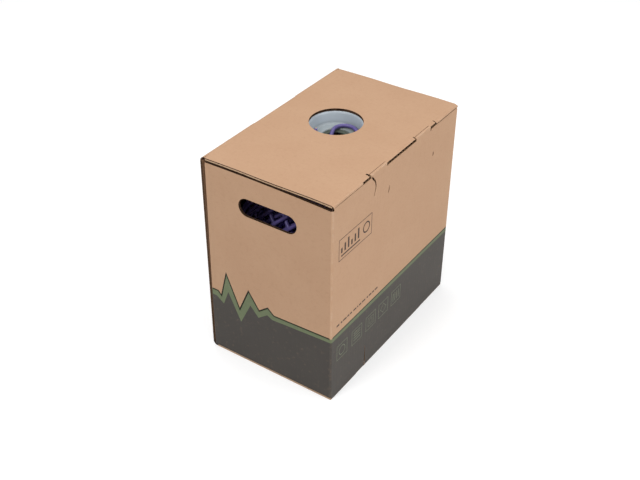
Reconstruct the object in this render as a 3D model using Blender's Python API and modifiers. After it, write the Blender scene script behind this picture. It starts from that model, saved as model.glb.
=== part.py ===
"""Cable spool box: a corrugated carton that holds a spool of data cable on a fixed axle.

Frame: metres, +Z up, the origin at the bottom centre. +X points to the right wall, which the two end
panels fold out of, and -Y to the front end panel. The spool turns about X. The cable leaves through a
bell-mouthed funnel that hangs under the hole in the top panel.
"""
from math import atan2, cos, pi, radians, sin, sqrt

import bmesh
import bpy
from mathutils import Vector

# ---------------------------------------------------------------- carton
BOX_WIDTH = 0.226
BOX_LENGTH = 0.347
BOX_HEIGHT = 0.350
BOARD = 0.004
GAP = 0.0003
SIDE = BOX_WIDTH / 2
END = BOX_LENGTH / 2
FOLD_RADIUS = 0.008          # outer radius of the two rounded folds of the left wall
FOLD_STEPS = 8
BAND_END = END - 0.0015      # raw front and back edges of the lid, left wall and bottom
MITRE_GAP = GAP * sqrt(2)

PANEL_BOTTOM = 0.005         # the end panels stop short of the bottom and the lid
PANEL_TOP = 0.343
PANEL_REACH = 0.0082         # from the left wall's outer face to the end panel's fold
FLAP_DEPTH = 0.035
FLAP_CHAMFER = 0.012

TAB_CENTRE = 0.0035          # the lock tabs are spaced evenly about this y
TAB_SPACING = 0.062
TAB_WIDTH = 0.042

HANDHOLD_CENTRE_Z = 0.293
HANDHOLD_LENGTH = 0.100
HANDHOLD_HEIGHT = 0.030

GLUE_FLAP_WIDTH = 0.038

# ---------------------------------------------------------------- axle and its boards
AXLE_HEIGHT = 0.175
INNER_BOARD_X = SIDE - BOARD - GAP
INNER_BOARD_HALF = 0.136
AXLE_RADIUS = 0.017
AXLE_BORE = 0.014
AXLE_HALF = 0.1061
BUSH_RADIUS = 0.0207
BUSH_FLANGE_RADIUS = 0.027
BUSH_INNER_X = 0.1017
BUSH_END = 0.002
BOARD_HOLE_RADIUS = BUSH_RADIUS + GAP

# ---------------------------------------------------------------- spool
FLANGE_RADIUS = 0.160
FLANGE_INNER_X = 0.094
FLANGE_THICKNESS = 0.004
BARREL_RADIUS = 0.055
BARREL_WALL = 0.004
HUB_RADIUS = 0.050
HUB_THICKNESS = 0.003
HUB_BORE = AXLE_RADIUS + 0.0006
SPIGOT_RADIUS = 0.024
SPIGOT_DEPTH = 0.020
TIE_CIRCLE = 0.040
TIE_COUNT = 3
TIE_RADIUS = 0.0025
TIE_HEAD_RADIUS = 0.0055
TIE_HEAD_DEPTH = 0.0024
NUT_ACROSS_FLATS = 0.008
WINDING_RADIUS = 0.138
WINDING_SHOULDER = 0.006     # the turns stand lower beside the flanges
CABLE_RADIUS = 0.003

# ---------------------------------------------------------------- payout funnel
PAYOUT_X = -0.0105
PAYOUT_Y = 0.020
PAYOUT_RADIUS = 0.041
FUNNEL_FLANGE_RADIUS = 0.052
FUNNEL_WALL = 0.0016
FUNNEL_FLOOR_Z = 0.326
FUNNEL_LOW_Z = 0.321
FUNNEL_FILLET = 0.0045
FUNNEL_BEAD = ((0.0010, 0.0), (-0.0002, 0.0005), (-0.0010, 0.0018), (-0.0018, 0.0050))
FUNNEL_DRAFT = 0.0041        # the wall's foot is this much smaller in radius than the hole
THROAT_RADIUS = 0.0225
THROAT_LIP = 0.0025
GROMMET_HOLE = 0.0155
GROMMET_THICKNESS = 0.003
GROMMET_EDGE = 0.0008
GROMMET_LEAD = 0.0012
BACKING_HALF = 0.062
BACKING_HOLE = 0.0455

# ---------------------------------------------------------------- free end of the cable
TAIL_LOOP = 0.0323           # radius of the loop that lies against the funnel's wall
TAIL_BEND = (-0.0105, 0.0090)    # where the straight run ends, measured from the payout's axis
TAIL_HEADING = radians(105)
TAIL_RUN = 0.056
TAIL_LIFT = 0.026            # length along the run at which the cable leaves the winding
TAIL_RISE = 0.034            # plan length of the rise to the funnel's floor
TAIL_END = radians(-165)
TAIL_POINT_STEP = 0.0060
TAIL_FINE_STEPS = 60

ROUND_STEPS = 64
SMALL_STEPS = 24


# ================================================================ helpers
def clear_scene():
    for obj in list(bpy.data.objects):
        bpy.data.objects.remove(obj, do_unlink=True)


def new_collection(name):
    collection = bpy.data.collections.new(name)
    bpy.context.scene.collection.children.link(collection)
    return collection


def make_material(name, colour, roughness, metallic=0.0):
    material = bpy.data.materials.new(name)
    material.use_nodes = True
    shader = material.node_tree.nodes["Principled BSDF"]
    shader.inputs["Base Color"].default_value = (*colour, 1.0)
    shader.inputs["Roughness"].default_value = roughness
    shader.inputs["Metallic"].default_value = metallic
    return material


def add_object(name, data, look, parent=None):
    """Link data as an object of the part, with a material of its own."""
    obj = bpy.data.objects.new(name, data)
    PARTS.objects.link(obj)
    colour, roughness, metallic = LOOKS[look]
    data.materials.clear()
    data.materials.append(make_material(name, colour, roughness, metallic))
    if parent is not None:
        attach(obj, parent)
    return obj


def attach(obj, parent):
    """Parent an object and keep it where it is."""
    bpy.context.view_layer.update()
    obj.parent = parent
    obj.matrix_parent_inverse = parent.matrix_world.inverted()


def add_pivot(name, location, parent=None):
    pivot = bpy.data.objects.new(name, None)
    pivot.location = location
    pivot.empty_display_size = 0.02
    PARTS.objects.link(pivot)
    if parent is not None:
        attach(pivot, parent)
    return pivot


def cube_mesh(name, low, high):
    mesh = bpy.data.meshes.new(name)
    bm = bmesh.new()
    bmesh.ops.create_cube(bm, size=1.0)
    for vert in bm.verts:
        vert.co = [low[i] + (vert.co[i] + 0.5) * (high[i] - low[i]) for i in range(3)]
    bm.to_mesh(mesh)
    bm.free()
    return mesh


def outline_mesh(name, outlines, low, high, plane="XY"):
    """Extrude closed 2D outlines (the first outer, the rest holes) from low to high along the normal."""
    curve = bpy.data.curves.new(name, "CURVE")
    curve.dimensions = "2D"
    curve.fill_mode = "BOTH"
    curve.extrude = (high - low) / 2
    for outline in outlines:
        spline = curve.splines.new("POLY")
        spline.points.add(len(outline) - 1)
        for point, (u, v) in zip(spline.points, outline):
            point.co = (u, v, 0, 1)
        spline.use_cyclic_u = True
    holder = bpy.data.objects.new(name, curve)
    bpy.context.scene.collection.objects.link(holder)
    mesh = bpy.data.meshes.new_from_object(holder.evaluated_get(bpy.context.evaluated_depsgraph_get()))
    bpy.data.objects.remove(holder, do_unlink=True)
    bm = bmesh.new()
    bm.from_mesh(mesh)
    bmesh.ops.remove_doubles(bm, verts=bm.verts, dist=1e-6)
    middle = (low + high) / 2
    for vert in bm.verts:
        u, v, w = vert.co
        w += middle
        vert.co = {"XY": (u, v, w), "YZ": (w, u, v), "XZ": (u, w, v)}[plane]
    bmesh.ops.recalc_face_normals(bm, faces=bm.faces)
    if bm.calc_volume(signed=True) < 0:
        bmesh.ops.reverse_faces(bm, faces=bm.faces)
    bm.to_mesh(mesh)
    bm.free()
    return mesh


def circle(centre_u, centre_v, radius, steps):
    return [(centre_u + radius * cos(2 * pi * i / steps), centre_v + radius * sin(2 * pi * i / steps))
            for i in range(steps)]


def arc(centre_u, centre_v, radius, start, end, steps):
    angles = [start + (end - start) * i / steps for i in range(steps + 1)]
    return [(centre_u + radius * cos(a), centre_v + radius * sin(a)) for a in angles]


def rectangle(low_u, low_v, high_u, high_v):
    return [(low_u, low_v), (high_u, low_v), (high_u, high_v), (low_u, high_v)]


def stadium(centre_u, centre_v, length, height, steps=12):
    radius = height / 2
    reach = length / 2 - radius
    return (arc(centre_u + reach, centre_v, radius, -pi / 2, pi / 2, steps)
            + arc(centre_u - reach, centre_v, radius, pi / 2, 3 * pi / 2, steps))


def combine(obj, cutter_mesh, operation="DIFFERENCE"):
    """Apply a Boolean with a mesh that is kept as a hidden wire object."""
    cutter = bpy.data.objects.new(f"{obj.name}_{operation.lower()}", cutter_mesh)
    cutter.hide_render = True
    cutter.display_type = "WIRE"
    CUTTERS.objects.link(cutter)
    modifier = obj.modifiers.new(cutter.name, "BOOLEAN")
    modifier.operation = operation
    modifier.solver = "EXACT"
    modifier.object = cutter
    return obj


def signed_volume(obj):
    """Volume inside an object's evaluated mesh, negative where its faces point inwards."""
    bm = bmesh.new()
    bm.from_object(obj, bpy.context.evaluated_depsgraph_get())
    volume = bm.calc_volume(signed=True)
    bm.free()
    return volume


def turn(name, look, profile, origin, axis, steps, parent=None):
    """Turn a (radius, distance) profile about an axis, "X" or "Z", through origin.

    The profile closes on itself, unless it starts and ends on the axis.
    """
    mesh = bpy.data.meshes.new(name)
    bm = bmesh.new()
    verts = [bm.verts.new((radius, 0, height)) for radius, height in profile]
    closed = profile[0][0] > 0
    for first, second in zip(verts, verts[1:] + (verts[:1] if closed else [])):
        bm.edges.new((first, second))
    bm.to_mesh(mesh)
    bm.free()
    obj = add_object(name, mesh, look)
    screw = obj.modifiers.new("turned", "SCREW")
    screw.axis = "Z"
    screw.steps = steps
    screw.render_steps = steps
    screw.use_merge_vertices = True
    screw.merge_threshold = 1e-5
    screw.use_normal_calculate = True
    screw.use_normal_flip = signed_volume(obj) < 0
    obj.location = origin
    if axis == "X":
        obj.rotation_euler = (0, pi / 2, 0)
    if parent is not None:
        attach(obj, parent)
    return obj


def ring_profile(inner, outer, low, high):
    """A rectangle in (radius, distance), running down its outer side."""
    return [(outer, high), (outer, low), (inner, low), (inner, high)]


# ================================================================ carton
def tab_bounds():
    """The y range of each lock tab."""
    for side in (-1, 1):
        centre = TAB_CENTRE + side * TAB_SPACING
        yield centre - TAB_WIDTH / 2, centre + TAB_WIDTH / 2


def band_outline():
    """Plan of the lid and the bottom: notched on the right for the wall's lock tabs."""
    left = -SIDE + FOLD_RADIUS + GAP
    right = SIDE
    notch = SIDE - BOARD - GAP
    outline = [(left, -BAND_END), (right, -BAND_END)]
    for low, high in tab_bounds():
        outline += [(right, low - GAP), (notch, low - GAP), (notch, high + GAP), (right, high + GAP)]
    return outline + [(right, BAND_END), (left, BAND_END)]


def build_lid_and_bottom():
    hole = circle(PAYOUT_X, PAYOUT_Y, PAYOUT_RADIUS, ROUND_STEPS)
    lid = outline_mesh("top_panel", [band_outline(), hole], BOX_HEIGHT - BOARD, BOX_HEIGHT)
    add_object("top_panel", lid, "board")
    bottom = outline_mesh("bottom_panel", [band_outline()], 0, BOARD)
    add_object("bottom_panel", bottom, "board")


def build_left_wall():
    """Wall with a rounded fold at its top and bottom, drawn in XZ and run along Y."""
    centre_x = -SIDE + FOLD_RADIUS
    inner = FOLD_RADIUS - BOARD
    high = BOX_HEIGHT - FOLD_RADIUS
    outline = (arc(centre_x, high, FOLD_RADIUS, pi / 2, pi, FOLD_STEPS)
               + arc(centre_x, FOLD_RADIUS, FOLD_RADIUS, pi, 3 * pi / 2, FOLD_STEPS)
               + arc(centre_x, FOLD_RADIUS, inner, 3 * pi / 2, pi, FOLD_STEPS)
               + arc(centre_x, high, inner, pi, pi / 2, FOLD_STEPS))
    add_object("left_wall", outline_mesh("left_wall", [outline], -BAND_END, BAND_END, "XZ"), "board")


def build_right_wall():
    """Wall between the lid and the bottom, mitred for the end panels' folds, with its lock tabs."""
    inner = SIDE - BOARD
    outer_end = END - MITRE_GAP
    inner_end = END - BOARD - MITRE_GAP
    outline = [(SIDE, -outer_end), (SIDE, outer_end), (inner, inner_end), (inner, -inner_end)]
    mesh = outline_mesh("right_wall", [outline], BOARD + GAP, BOX_HEIGHT - BOARD - GAP)
    wall = add_object("right_wall", mesh, "board")
    for low, high in tab_bounds():
        combine(wall, cube_mesh("lock_tabs", (inner, low, 0), (SIDE, high, BOX_HEIGHT)), "UNION")


def build_end(name, side):
    """End panel and its tuck flap; side is -1 at the front and 1 at the back."""
    left = -SIDE + PANEL_REACH
    inner = END - BOARD
    pivot = add_pivot(f"{name}_fold", (SIDE, side * END, AXLE_HEIGHT))
    outline = [(SIDE, side * END), (left, side * END),
               (left + BOARD, side * inner), (SIDE - BOARD, side * inner)]
    mesh = outline_mesh(f"{name}_end_panel", [outline], PANEL_BOTTOM, PANEL_TOP)
    panel = add_object(f"{name}_end_panel", mesh, "board", pivot)
    slot = stadium((SIDE + left) / 2, HANDHOLD_CENTRE_Z, HANDHOLD_LENGTH, HANDHOLD_HEIGHT)
    combine(panel, outline_mesh("handhold", [slot], side * END - 2 * BOARD, side * END + 2 * BOARD, "XZ"))

    flap_pivot = add_pivot(f"{name}_tuck_fold", (left, side * END, AXLE_HEIGHT), pivot)
    tip = side * (END - FLAP_DEPTH)
    shoulder = side * (END - FLAP_DEPTH + FLAP_CHAMFER)
    low, high = PANEL_BOTTOM + GAP, PANEL_TOP - GAP
    outline = [(side * END, low), (shoulder, low), (tip, low + 2 * FLAP_CHAMFER),
               (tip, high - 2 * FLAP_CHAMFER), (shoulder, high), (side * END, high)]
    mesh = outline_mesh(f"{name}_tuck_flap", [outline], left, left + BOARD, "YZ")
    flap = add_object(f"{name}_tuck_flap", mesh, "board", flap_pivot)
    corner = [(left - BOARD, side * (END - MITRE_GAP + BOARD)),
              (left + 2 * BOARD, side * (END - MITRE_GAP - 2 * BOARD)),
              (left + 2 * BOARD, side * (END + BOARD))]
    combine(flap, outline_mesh("mitre", [corner], 0, BOX_HEIGHT))


def build_glue_flap():
    low = (SIDE - BOARD - GLUE_FLAP_WIDTH, -BAND_END + BOARD, BOARD + GAP)
    high = (SIDE - BOARD - GAP, BAND_END - BOARD, 2 * BOARD + GAP)
    add_object("glue_flap", cube_mesh("glue_flap", low, high), "board")


# ================================================================ axle and its boards
def build_inner_boards():
    """The right board stands on the glue flap, the left one in the curve of the left wall's folds."""
    fold_inner = FOLD_RADIUS - BOARD
    fold_seat = FOLD_RADIUS - sqrt(fold_inner ** 2 - (fold_inner - GAP) ** 2) + GAP
    for name, side, floor, inset in (("right", 1, 2 * BOARD + 2 * GAP, BOARD + GAP),
                                     ("left", -1, fold_seat, fold_seat)):
        outline = rectangle(-INNER_BOARD_HALF, floor, INNER_BOARD_HALF, BOX_HEIGHT - inset)
        hole = circle(0, AXLE_HEIGHT, BOARD_HOLE_RADIUS, ROUND_STEPS)
        faces = sorted((side * INNER_BOARD_X, side * (INNER_BOARD_X - BOARD)))
        mesh = outline_mesh(f"inner_board_{name}", [outline, hole], *faces, "YZ")
        add_object(f"inner_board_{name}", mesh, "board")


def mirrored(profile, side):
    """Flip a profile end for end, keeping its direction round the outline."""
    if side > 0:
        return profile
    return [(radius, -distance) for radius, distance in reversed(profile)]


def build_axle():
    centre = (0, 0, AXLE_HEIGHT)
    turn("axle_tube", "axle", ring_profile(AXLE_BORE, AXLE_RADIUS, -AXLE_HALF, AXLE_HALF), centre, "X",
         SMALL_STEPS * 2)
    seat = INNER_BOARD_X - BOARD - GAP
    cup = AXLE_HALF + GAP
    bore = AXLE_RADIUS + GAP
    profile = [(0, cup + BUSH_END), (BUSH_RADIUS, cup + BUSH_END), (BUSH_RADIUS, seat),
               (BUSH_FLANGE_RADIUS, seat), (BUSH_FLANGE_RADIUS, BUSH_INNER_X), (bore, BUSH_INNER_X),
               (bore, cup), (0, cup)]
    for name, side in (("right", 1), ("left", -1)):
        turn(f"axle_bush_{name}", "grey", mirrored(profile, side), centre, "X", SMALL_STEPS * 2)


# ================================================================ spool
def tie_places():
    for index in range(TIE_COUNT):
        angle = pi / 2 + 2 * pi * index / TIE_COUNT
        yield index + 1, TIE_CIRCLE * cos(angle), AXLE_HEIGHT + TIE_CIRCLE * sin(angle)


def build_spool():
    pivot = add_pivot("spool_axis", (0, 0, AXLE_HEIGHT))
    centre = (0, 0, AXLE_HEIGHT)
    flange_outer_x = FLANGE_INNER_X + FLANGE_THICKNESS
    hub_inner_x = flange_outer_x + GAP
    hub_outer_x = hub_inner_x + HUB_THICKNESS
    barrel_half = FLANGE_INNER_X - GAP
    turn("spool_barrel", "tube", ring_profile(BARREL_RADIUS - BARREL_WALL, BARREL_RADIUS, -barrel_half,
                                              barrel_half), centre, "X", ROUND_STEPS, pivot)
    tie_holes = [circle(y, z, TIE_RADIUS + GAP, SMALL_STEPS // 2) for _, y, z in tie_places()]
    hub_profile = [(HUB_RADIUS, hub_outer_x), (HUB_RADIUS, hub_inner_x), (SPIGOT_RADIUS, hub_inner_x),
                   (SPIGOT_RADIUS, hub_inner_x - SPIGOT_DEPTH), (HUB_BORE, hub_inner_x - SPIGOT_DEPTH),
                   (HUB_BORE, hub_outer_x)]
    for name, side in (("right", 1), ("left", -1)):
        faces = sorted((side * FLANGE_INNER_X, side * flange_outer_x))
        outlines = [circle(0, AXLE_HEIGHT, FLANGE_RADIUS, 2 * ROUND_STEPS),
                    circle(0, AXLE_HEIGHT, SPIGOT_RADIUS + GAP, SMALL_STEPS * 2)] + tie_holes
        mesh = outline_mesh(f"spool_flange_{name}", outlines, *faces, "YZ")
        add_object(f"spool_flange_{name}", mesh, "fibreboard", pivot)
        hub = turn(f"hub_plate_{name}", "grey", mirrored(hub_profile, side), centre, "X", SMALL_STEPS * 2,
                   pivot)
        for _, y, z in tie_places():
            reach = sorted((side * (hub_inner_x - BOARD), side * (hub_outer_x + BOARD)))
            hole = [circle(y, z, TIE_RADIUS + GAP, SMALL_STEPS // 2)]
            combine(hub, outline_mesh("tie_hole", hole, *reach, "YZ"))
    build_ties(hub_outer_x, pivot)
    build_winding(barrel_half, centre, pivot)


def build_ties(hub_outer_x, pivot):
    """Carriage bolts through both flanges, with their heads on the right and nuts on the left."""
    seat = hub_outer_x + GAP
    nut_face = -seat
    profile = [(0, seat + TIE_HEAD_DEPTH), (TIE_HEAD_RADIUS * 0.6, seat + TIE_HEAD_DEPTH),
               (TIE_HEAD_RADIUS, seat + TIE_HEAD_DEPTH / 3), (TIE_HEAD_RADIUS, seat), (TIE_RADIUS, seat),
               (TIE_RADIUS, nut_face - TIE_HEAD_DEPTH), (0, nut_face - TIE_HEAD_DEPTH)]
    for index, y, z in tie_places():
        turn(f"tie_rod_{index}", "steel", profile, (0, y, z), "X", SMALL_STEPS // 2, pivot)
        hexagon = circle(y, z, NUT_ACROSS_FLATS / sqrt(3), 6)
        bore = circle(y, z, TIE_RADIUS + GAP, SMALL_STEPS // 2)
        mesh = outline_mesh(f"tie_nut_{index}", [hexagon, bore], nut_face - TIE_HEAD_DEPTH, nut_face, "YZ")
        add_object(f"tie_nut_{index}", mesh, "steel", pivot)


def build_winding(half_width, centre, pivot):
    shoulder = half_width - 2 * WINDING_SHOULDER
    low_radius = WINDING_RADIUS - WINDING_SHOULDER / 2
    profile = [(WINDING_RADIUS, shoulder), (WINDING_RADIUS, -shoulder), (low_radius, -half_width + GAP),
               (BARREL_RADIUS + GAP, -half_width + GAP), (BARREL_RADIUS + GAP, half_width - GAP),
               (low_radius, half_width - GAP)]
    turn("cable_winding", "cable", profile, centre, "X", ROUND_STEPS + ROUND_STEPS // 2, pivot)


# ================================================================ payout funnel
def build_funnel():
    """Bell mouth: a rim under the lid, a steep wall, a floor for the loops and a short throat."""
    rim_z = BOX_HEIGHT - BOARD - GAP
    bead = [(PAYOUT_RADIUS + outward, rim_z - drop) for outward, drop in FUNNEL_BEAD]
    foot_radius = PAYOUT_RADIUS - FUNNEL_DRAFT
    foot_z = FUNNEL_FLOOR_Z + FUNNEL_FILLET
    fillet = arc(foot_radius - FUNNEL_FILLET, foot_z, FUNNEL_FILLET, 0, -pi / 2, 5)
    lip = arc(THROAT_RADIUS + THROAT_LIP, FUNNEL_FLOOR_Z - THROAT_LIP, THROAT_LIP, pi / 2, pi, 4)
    inner = bead + fillet + lip
    outer = [(radius + FUNNEL_WALL, z - FUNNEL_WALL) for radius, z in inner[1:]]
    flange_low = rim_z - FUNNEL_WALL
    profile = ([(FUNNEL_FLANGE_RADIUS, rim_z)] + inner
               + [(THROAT_RADIUS, FUNNEL_LOW_Z), (THROAT_RADIUS + FUNNEL_WALL, FUNNEL_LOW_Z)]
               + outer[::-1] + [(PAYOUT_RADIUS + 2 * FUNNEL_WALL, flange_low),
                                (FUNNEL_FLANGE_RADIUS, flange_low)])
    turn("payout_funnel", "grey", profile[::-1], (PAYOUT_X, PAYOUT_Y, 0), "Z", SMALL_STEPS * 2)

    low = FUNNEL_LOW_Z
    high = low + GROMMET_THICKNESS
    outer_radius = THROAT_RADIUS - GAP
    grommet = [(outer_radius, high), (outer_radius, low), (GROMMET_HOLE + GROMMET_EDGE, low),
               (GROMMET_HOLE, low + GROMMET_EDGE), (GROMMET_HOLE, high - GROMMET_LEAD),
               (GROMMET_HOLE + GROMMET_LEAD, high)]
    turn("throat_grommet", "rubber", grommet, (PAYOUT_X, PAYOUT_Y, 0), "Z", SMALL_STEPS * 2)

    plate_high = flange_low - GAP
    outline = rectangle(PAYOUT_X - BACKING_HALF, PAYOUT_Y - BACKING_HALF,
                        PAYOUT_X + BACKING_HALF, PAYOUT_Y + BACKING_HALF)
    hole = circle(PAYOUT_X, PAYOUT_Y, BACKING_HOLE, ROUND_STEPS)
    mesh = outline_mesh("funnel_backing_plate", [outline, hole], plate_high - BOARD, plate_high)
    add_object("funnel_backing_plate", mesh, "fibreboard")


# ================================================================ free end of the cable
def resample(dense, step):
    """Points at an even step along a finely sampled line, with its two ends kept."""
    lengths = [0.0]
    for first, second in zip(dense, dense[1:]):
        lengths.append(lengths[-1] + (second - first).length)
    count = round(lengths[-1] / step)
    points = []
    place = 0
    for index in range(count + 1):
        target = lengths[-1] * index / count
        while place < len(lengths) - 2 and lengths[place + 1] < target:
            place += 1
        share = (target - lengths[place]) / (lengths[place + 1] - lengths[place])
        points.append(dense[place].lerp(dense[place + 1], share))
    return points


def sweep(centre, radius, start, end):
    """Points clockwise round a circle in plan, from angle start down to angle end."""
    for i in range(1, TAIL_FINE_STEPS + 1):
        angle = start + (end - start) * i / TAIL_FINE_STEPS
        yield centre + radius * Vector((cos(angle), sin(angle)))


def tail_plan():
    """A straight run, then a bend that meets the loop inside it, then the loop, about the payout's axis."""
    corner = Vector(TAIL_BEND)
    heading = Vector((cos(TAIL_HEADING), sin(TAIL_HEADING)))
    inward = Vector((heading.y, -heading.x))
    bend = (TAIL_LOOP ** 2 - corner.length_squared) / (2 * (corner.dot(inward) + TAIL_LOOP))
    centre = corner + bend * inward
    meeting = atan2(centre.y, centre.x)
    plan = [corner - heading * TAIL_RUN * (1 - i / TAIL_FINE_STEPS) for i in range(TAIL_FINE_STEPS + 1)]
    plan += sweep(centre, bend, TAIL_HEADING + pi / 2, meeting)
    plan += sweep(Vector((0, 0)), TAIL_LOOP, meeting, TAIL_END)
    return plan


def tail_route():
    """The cable follows the winding, rises through the throat and lies round the funnel's floor.

    Its height follows the winding, then a cubic from the winding's slope to level.
    """
    plan = tail_plan()
    lay_radius = WINDING_RADIUS + CABLE_RADIUS + GAP
    loop_z = FUNNEL_FLOOR_Z + CABLE_RADIUS + GAP
    heights = [AXLE_HEIGHT + sqrt(lay_radius ** 2 - (PAYOUT_Y + place.y) ** 2) for place in plan]
    runs = [0.0]
    for first, second in zip(plan, plan[1:]):
        runs.append(runs[-1] + (second - first).length)
    lift = max(index for index, run in enumerate(runs) if run <= TAIL_LIFT)
    lift_z = heights[lift]
    start_slope = (lift_z - heights[lift - 1]) / (runs[lift] - runs[lift - 1]) * TAIL_RISE
    route = []
    for place, run, height in zip(plan, runs, heights):
        share = min((run - runs[lift]) / TAIL_RISE, 1.0)
        if share > 0:
            height = (lift_z + start_slope * (share ** 3 - 2 * share ** 2 + share)
                      + (loop_z - lift_z) * (3 * share ** 2 - 2 * share ** 3))
        route.append(Vector((PAYOUT_X + place.x, PAYOUT_Y + place.y, height)))
    return resample(route, TAIL_POINT_STEP)


def build_tail():
    route = tail_route()
    curve = bpy.data.curves.new("cable_tail", "CURVE")
    curve.dimensions = "3D"
    curve.bevel_depth = CABLE_RADIUS
    curve.bevel_resolution = 2
    curve.use_fill_caps = True
    spline = curve.splines.new("POLY")
    spline.points.add(len(route) - 1)
    for point, place in zip(spline.points, route):
        point.co = (*place, 1)
    add_object("cable_tail", curve, "cable")


clear_scene()
PARTS = new_collection("cable_spool_box")
CUTTERS = new_collection("cutters")
LOOKS = {
    "board": ((0.55, 0.36, 0.23), 0.85, 0.0),
    "fibreboard": ((0.30, 0.20, 0.13), 0.8, 0.0),
    "tube": ((0.42, 0.28, 0.17), 0.8, 0.0),
    "grey": ((0.42, 0.45, 0.47), 0.45, 0.0),
    "axle": ((0.25, 0.26, 0.27), 0.5, 0.0),
    "rubber": ((0.07, 0.09, 0.08), 0.7, 0.0),
    "steel": ((0.6, 0.6, 0.6), 0.35, 1.0),
    "cable": ((0.10, 0.07, 0.30), 0.5, 0.0),
}

build_right_wall()
build_lid_and_bottom()
build_left_wall()
build_glue_flap()
build_end("front", -1)
build_end("back", 1)
build_inner_boards()
build_axle()
build_spool()
build_funnel()
build_tail()
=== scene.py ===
"""Looks of the cable spool box: corrugated board panels, a cross-wound cable spool and a payout funnel.

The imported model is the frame. Corrugated pieces are drawn flat, in (u, v, w): u and v run along the board
and w is the depth below its printed face. They are cut there, and then bent into place.
"""
import random
from math import atan2, cos, pi, radians, sin, sqrt, tanh

import bmesh
import bpy
from mathutils import Matrix, Vector


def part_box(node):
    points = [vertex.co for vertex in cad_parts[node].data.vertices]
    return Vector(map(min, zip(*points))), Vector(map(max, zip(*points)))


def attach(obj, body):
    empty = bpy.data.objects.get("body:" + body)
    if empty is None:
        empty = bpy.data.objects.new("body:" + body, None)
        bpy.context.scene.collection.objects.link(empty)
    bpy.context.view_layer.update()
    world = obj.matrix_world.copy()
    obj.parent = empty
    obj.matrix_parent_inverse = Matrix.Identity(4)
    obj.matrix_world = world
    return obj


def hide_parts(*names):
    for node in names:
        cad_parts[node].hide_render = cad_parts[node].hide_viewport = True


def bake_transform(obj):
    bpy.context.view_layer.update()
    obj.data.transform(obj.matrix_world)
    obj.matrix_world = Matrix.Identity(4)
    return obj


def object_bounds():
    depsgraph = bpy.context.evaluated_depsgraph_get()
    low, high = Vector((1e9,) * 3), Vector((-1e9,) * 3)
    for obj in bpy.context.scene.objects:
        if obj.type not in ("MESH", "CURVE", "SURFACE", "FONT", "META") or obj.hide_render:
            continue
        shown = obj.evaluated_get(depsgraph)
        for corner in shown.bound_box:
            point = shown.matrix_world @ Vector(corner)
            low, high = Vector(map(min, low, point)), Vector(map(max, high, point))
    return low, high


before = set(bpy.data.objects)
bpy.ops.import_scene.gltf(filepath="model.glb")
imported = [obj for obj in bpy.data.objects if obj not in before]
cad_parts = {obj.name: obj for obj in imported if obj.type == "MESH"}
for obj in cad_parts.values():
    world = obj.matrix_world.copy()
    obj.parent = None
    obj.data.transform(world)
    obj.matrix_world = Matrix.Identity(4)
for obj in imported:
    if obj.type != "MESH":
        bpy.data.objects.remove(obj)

CAD_LOW, CAD_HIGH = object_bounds()
SIDE, END, HEIGHT = CAD_HIGH


def centre_of(node):
    low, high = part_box(node)
    return (low + high) / 2


# ---------------------------------------- sizes from the frame, in metres
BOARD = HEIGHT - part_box("top_panel")[0].z
BAND_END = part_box("top_panel")[1].y           # raw front and back edges of the lid, left wall and bottom
PANEL_LEFT, _, PANEL_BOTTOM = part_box("front_end_panel")[0]
PANEL_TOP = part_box("front_end_panel")[1].z
WALL_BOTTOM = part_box("bottom_panel")[1].z
AXLE_HEIGHT = centre_of("axle_tube").z
PAYOUT = centre_of("payout_funnel")
HANDHOLD_X = centre_of("front_end_panel").x

# ---------------------------------------- corrugated board
LINER = 0.0005
INK = 0.00006                # the printed film's thickness; the bare board lies this far below it
FLUTE_PITCH = 0.0075
FLUTE_SHEET = 0.0004
RECESS = 0.0003              # the fluting stands this far back from a raw edge
GAP = 0.0003                 # between pieces that touch
CLEAR = 0.003                # cutters reach this far past the board
BEYOND = 0.4                 # a height past the top of the box, for cutters
FAR = 0.2                    # and a distance past its ends
SCORE_DEPTH = 0.0012
SHARPEST = 0.35              # the least cosine by which a sliver's width is spread at a bend
COARSE, MEDIUM = 0.05, 0.03  # divisions of a flat panel
FINE, FINEST = 0.0005, 0.0004    # and of a fold

# ---------------------------------------- folds
FOLD_RADIUS = 0.008          # outer radius of the left wall's rounded folds
CORNER_RADIUS = 0.003        # outer radius of the end panels' folds at the right wall
FLAP_RADIUS = 0.002          # outer radius of the tuck flaps' folds
FOLD_RIGHT = SIDE - CORNER_RADIUS
FOLD_LEFT = PANEL_LEFT + FLAP_RADIUS
LEFT_QUARTER = FOLD_RADIUS * pi / 2
LEFT_LOW_FOLD = LEFT_QUARTER + HEIGHT - 2 * FOLD_RADIUS      # where the left wall's lower fold starts
DENT_START, DENT_END, DENT_DEPTH = -0.053, 0.057, 0.0011     # a shallow dent along the lid's left fold
DENT_RUN, DENT_REACH = 0.002, 0.022
WALL_REACH = END - CORNER_RADIUS

# ---------------------------------------- lid
LID_LEFT = -0.105
LID_RADIUS = 0.0025          # its right edge is rolled down
LID_EDGE = SIDE - LID_RADIUS
LID_SLOPE = 0.0010           # and dips by this much beside the crease
CREASE_X = 0.108
LID_EDGE_DROP = 0.0003
LID_SLIT = 0.0014            # length of the roll that is left beside a slit
END_DIP, END_DIP_START, END_DIP_RUN = 0.0008, 0.160, 0.012   # its front and back edges are wavy
OUTSIDE = 0.12               # an x past the right wall, for cutters
TAB_RANGES = ((-0.0795, -0.0375), (0.0445, 0.0865))
TAB_SLACK = 0.0004
NOTCH_X = 0.1085             # the tabs lie in notches of the lid
SLIT_RANGES = ((-0.100, -0.0795), (-0.0375, 0.0445), (0.0865, 0.104))
LID_CUTS = ((0.1050, -0.0825, -0.0792), (0.1068, 0.0432, 0.0448), (0.1062, 0.1030, 0.1046))
FOOT_NOTCH_START = 0.0045    # the bottom's notches start this far behind the tabs' front ends

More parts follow.
